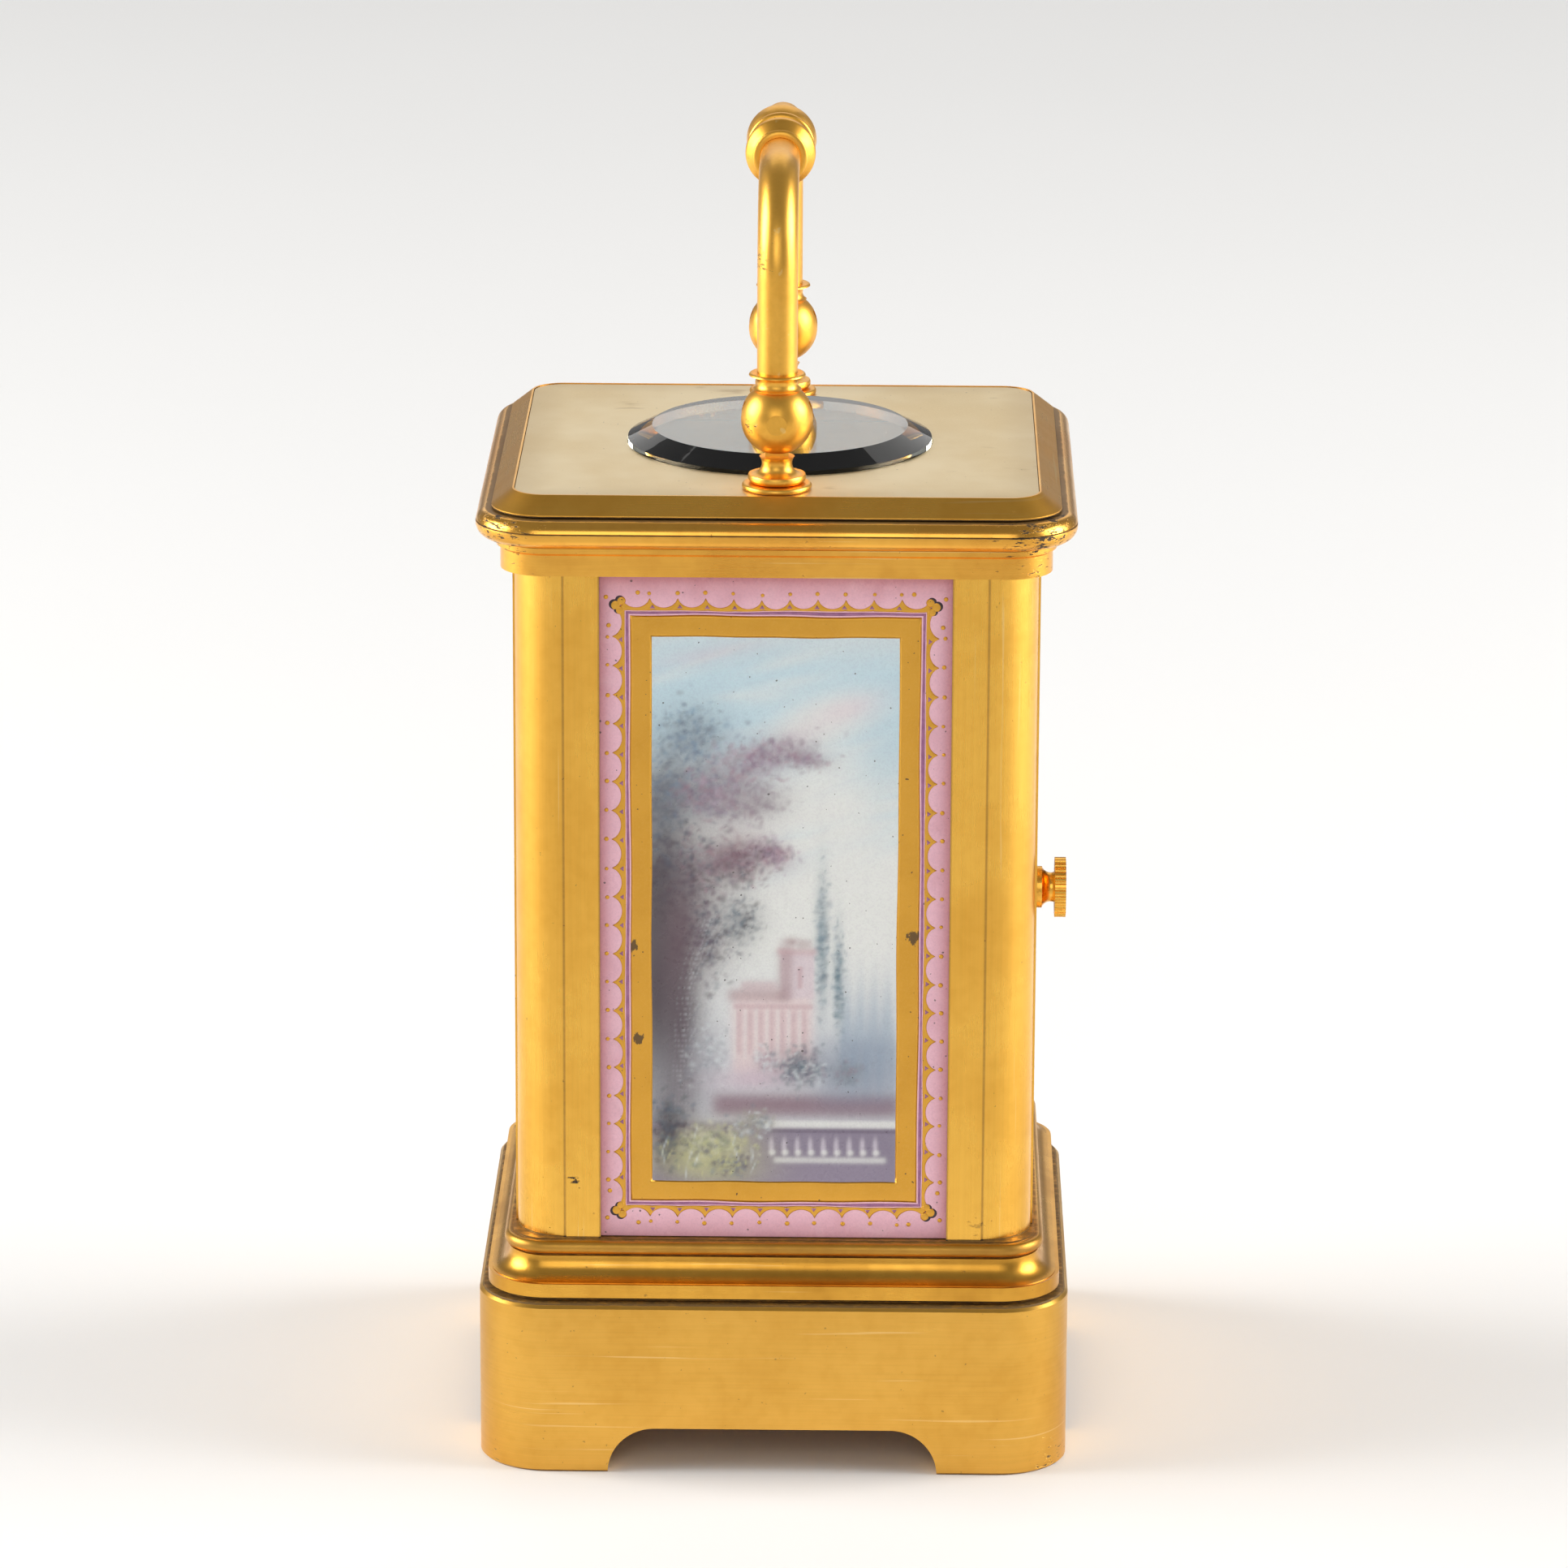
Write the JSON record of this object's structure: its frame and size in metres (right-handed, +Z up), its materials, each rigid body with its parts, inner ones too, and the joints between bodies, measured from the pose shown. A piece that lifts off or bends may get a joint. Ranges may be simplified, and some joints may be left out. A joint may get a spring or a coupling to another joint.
{
  "type": "carriage clock",
  "caption": "Miniature gilt-brass carriage clock with painted porcelain sides, round top glass, folding turned handle, hinged glazed rear door and a going platform-escapement movement.",
  "frame": {"origin": "on the floor under the middle of the plinth", "axes": "+Z up, -Y towards the dial, +Y towards the rear door, +X towards the side panel on the viewer's right when facing the dial"},
  "size_m": [0.044, 0.0466, 0.105],
  "materials": {
    "gilt_brass": "fire gilt, satin, worn",
    "satin_gilt": "fine satin",
    "bright_gilt": "burnished gilt",
    "bevelled_glass": "polished, bevelled",
    "porcelain": "painted, glazed",
    "movement_brass": "polished",
    "polished_steel": "polished",
    "blued_steel": "heat blued"
  },
  "bodies": {
    "case": {"plinth": "gilt_brass", "base_moulding": "bright_gilt", "pillar_front_right": "gilt_brass", "pillar_front_left": "gilt_brass", "pillar_rear_right": "gilt_brass", "pillar_rear_left": "gilt_brass", "cornice": "bright_gilt", "top_frame": "gilt_brass", "top_plate": "satin_gilt", "top_glass": "bevelled_glass", "top_glass_ring": "bright_gilt", "side_panel_right": "porcelain", "side_panel_left": "porcelain", "front_glass": "bevelled_glass", "dial_panel": "porcelain", "dial_backing": "movement_brass", "case_screws": "polished_steel", "handle_post_right": "gilt_brass", "handle_post_left": "gilt_brass", "post_nuts": "polished_steel", "front_plate": "movement_brass", "back_plate": "movement_brass", "movement_pillars": "movement_brass", "plate_screws": "blued_steel", "movement_feet": "movement_brass", "movement_screws": "polished_steel", "click_screw": "blued_steel", "click_spring": "blued_steel", "platform": "movement_brass", "platform_screws": "blued_steel", "pallet_bridge": "movement_brass", "balance_cock": "movement_brass"},
    "handle": {"handle_bail": "gilt_brass", "handle_knop": "bright_gilt", "handle_pins": "polished_steel"},
    "rear_door": {"door_frame": "gilt_brass", "door_glass": "bevelled_glass", "door_hinge_pins": "polished_steel"},
    "knob": {"door_knob": "bright_gilt", "door_catch": "bright_gilt"},
    "going_barrel": {"barrel": "movement_brass", "barrel_cap": "movement_brass", "mainspring": "blued_steel"},
    "winding_arbor": {"barrel_arbor": "polished_steel", "ratchet_wheel": "polished_steel"},
    "click": {"click": "polished_steel"},
    "centre_wheel": {"centre_wheel": "movement_brass"},
    "hand_arbor": {"centre_arbor": "polished_steel", "cannon_pinion": "polished_steel", "minute_hand": "blued_steel"},
    "third_wheel": {"third_wheel": "movement_brass"},
    "contrate_wheel": {"contrate_wheel": "movement_brass"},
    "escape_wheel": {"escape_wheel": "movement_brass"},
    "pallet_lever": {"pallet_lever": "polished_steel"},
    "balance": {"balance_wheel": "movement_brass", "hairspring": "blued_steel"},
    "regulator": {"regulator_index": "polished_steel"},
    "minute_wheel": {"minute_wheel": "movement_brass"},
    "hour_wheel": {"hour_wheel": "movement_brass", "hour_hand": "blued_steel"}
  },
  "joints": [
    {"name": "handle_swing", "type": "hinge", "parent": "case", "child": "handle", "pos_m": [0, 0, 0.0843], "axis": [1, 0, 0], "range_deg": [-97, 97]},
    {"name": "rear_door_swing", "type": "hinge", "parent": "case", "child": "rear_door", "pos_m": [-0.01113, 0.01935, 0.0456], "axis": [0, 0, 1], "range_deg": [0, 95]},
    {"name": "knob_turn", "type": "hinge", "parent": "rear_door", "child": "knob", "pos_m": [0.01058, 0.02, 0.0452], "axis": [0, 1, 0], "range_deg": [0, 90]},
    {"name": "contrate_turn", "type": "hinge", "parent": "case", "child": "contrate_wheel", "pos_m": [0.00525, 0, 0.05626], "axis": [0, 1, 0], "continuous": true},
    {"name": "third_turn", "type": "hinge", "parent": "case", "child": "third_wheel", "pos_m": [-0.00153, 0, 0.05567], "axis": [0, 1, 0], "continuous": true},
    {"name": "centre_turn", "type": "hinge", "parent": "case", "child": "centre_wheel", "pos_m": [0, 0, 0.047], "axis": [0, 1, 0], "continuous": true},
    {"name": "barrel_turn", "type": "hinge", "parent": "case", "child": "going_barrel", "pos_m": [0, 0, 0.0353], "axis": [0, 1, 0], "continuous": true},
    {"name": "escape_turn", "type": "hinge", "parent": "case", "child": "escape_wheel", "pos_m": [0.00525, 0.00212, 0.06], "axis": [0, 0, 1], "continuous": true},
    {"name": "winding_turn", "type": "hinge", "parent": "case", "child": "winding_arbor", "pos_m": [0, 0, 0.0353], "axis": [0, 1, 0], "continuous": true},
    {"name": "click_lift", "type": "hinge", "parent": "case", "child": "click", "pos_m": [0.00599, 0, 0.0369], "axis": [0, 1, 0], "range_deg": [0, 12], "stiffness_Nm_per_rad": 0.0001, "springref_deg": -11.46, "deforming": ["click_spring"]},
    {"name": "hand_setting_turn", "type": "hinge", "parent": "case", "child": "hand_arbor", "pos_m": [0, 0, 0.047], "axis": [0, 1, 0], "continuous": true},
    {"name": "minute_wheel_turn", "type": "hinge", "parent": "case", "child": "minute_wheel", "pos_m": [-0.00339, 0, 0.04361], "axis": [0, 1, 0], "continuous": true},
    {"name": "hour_wheel_turn", "type": "hinge", "parent": "case", "child": "hour_wheel", "pos_m": [0, 0, 0.047], "axis": [0, 1, 0], "continuous": true},
    {"name": "pallet_rock", "type": "hinge", "parent": "case", "child": "pallet_lever", "pos_m": [0.00177, 0.00085, 0.0637], "axis": [0, 0, 1], "range_deg": [-5, 5]},
    {"name": "balance_swing", "type": "hinge", "parent": "case", "child": "balance", "pos_m": [-0.00265, -0.00075, 0.0657], "axis": [0, 0, 1], "range_deg": [-150, 150], "stiffness_Nm_per_rad": 0.0000004, "deforming": ["hairspring"]},
    {"name": "regulator_turn", "type": "hinge", "parent": "case", "child": "regulator", "pos_m": [-0.00265, -0.00075, 0.0681], "axis": [0, 0, 1], "range_deg": [-25, 25]}
  ],
  "couplings": [
    {"joint": "third_turn", "follows": "contrate_turn", "ratio": -0.13333},
    {"joint": "centre_turn", "follows": "contrate_turn", "ratio": 0.013333},
    {"joint": "barrel_turn", "follows": "contrate_turn", "ratio": -0.0016667},
    {"joint": "escape_turn", "follows": "contrate_turn", "ratio": 8},
    {"joint": "minute_wheel_turn", "follows": "hand_setting_turn", "ratio": -0.33333},
    {"joint": "hour_wheel_turn", "follows": "hand_setting_turn", "ratio": 0.083333}
  ]
}
